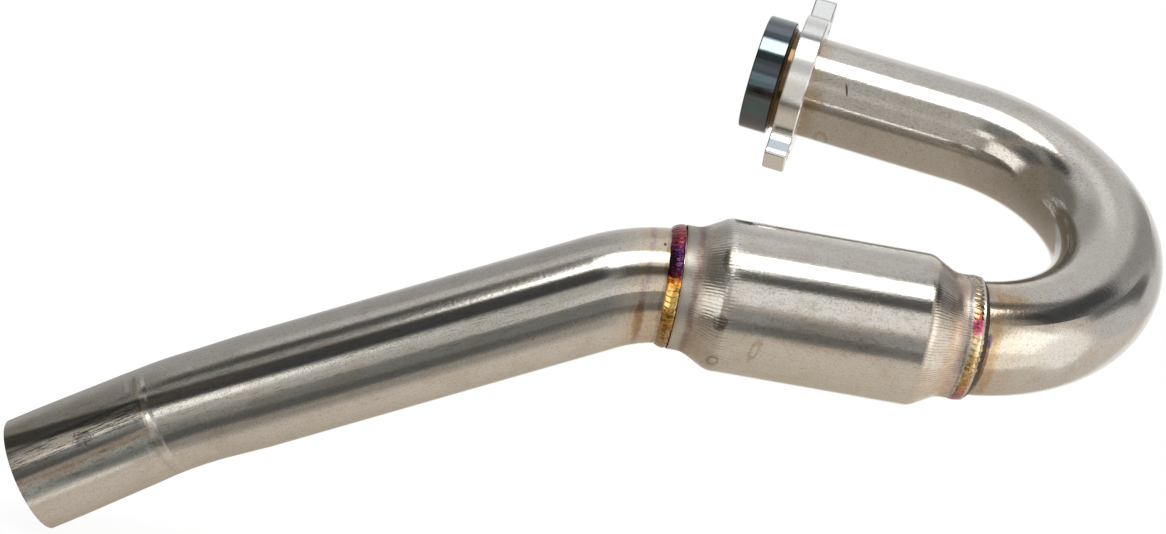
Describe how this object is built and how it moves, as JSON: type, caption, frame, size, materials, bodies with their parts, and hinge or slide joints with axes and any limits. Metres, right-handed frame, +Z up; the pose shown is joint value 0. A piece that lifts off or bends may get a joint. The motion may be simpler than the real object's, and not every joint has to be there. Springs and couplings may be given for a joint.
{
  "type": "motorcycle exhaust header",
  "caption": "Bent steel front exhaust pipe with a collar and loose stud flange at the port, a swollen resonance chamber and a flared slip end.",
  "frame": {"origin": "centre of the collar's port face, on the port axis", "axes": "+X along the port axis, away from the engine; +Z up; the pipe comes back along -X on the -Y side"},
  "size_m": [0.381, 0.2064, 0.2676],
  "materials": {
    "satin_steel": "satin mill finish stainless steel",
    "blued_steel": "turned steel, blued by heat",
    "tinted_weld": "heat-tinted fillet weld",
    "gold_weld": "rippled weld, straw to purple heat tint",
    "machined_aluminium": "bright machined"
  },
  "bodies": {
    "pipe": {"port_collar": "blued_steel", "collar_weld": "tinted_weld", "head_tube": "satin_steel", "inlet_weld": "gold_weld", "chamber_shell": "satin_steel", "chamber_core": "satin_steel", "outlet_weld": "gold_weld", "tail_tube": "satin_steel"},
    "flange": {"port_flange": "machined_aluminium"}
  },
  "joints": [
    {"name": "flange_turn", "type": "hinge", "parent": "pipe", "child": "flange", "pos_m": [0, 0, 0], "axis": [1, 0, 0], "continuous": true}
  ]
}
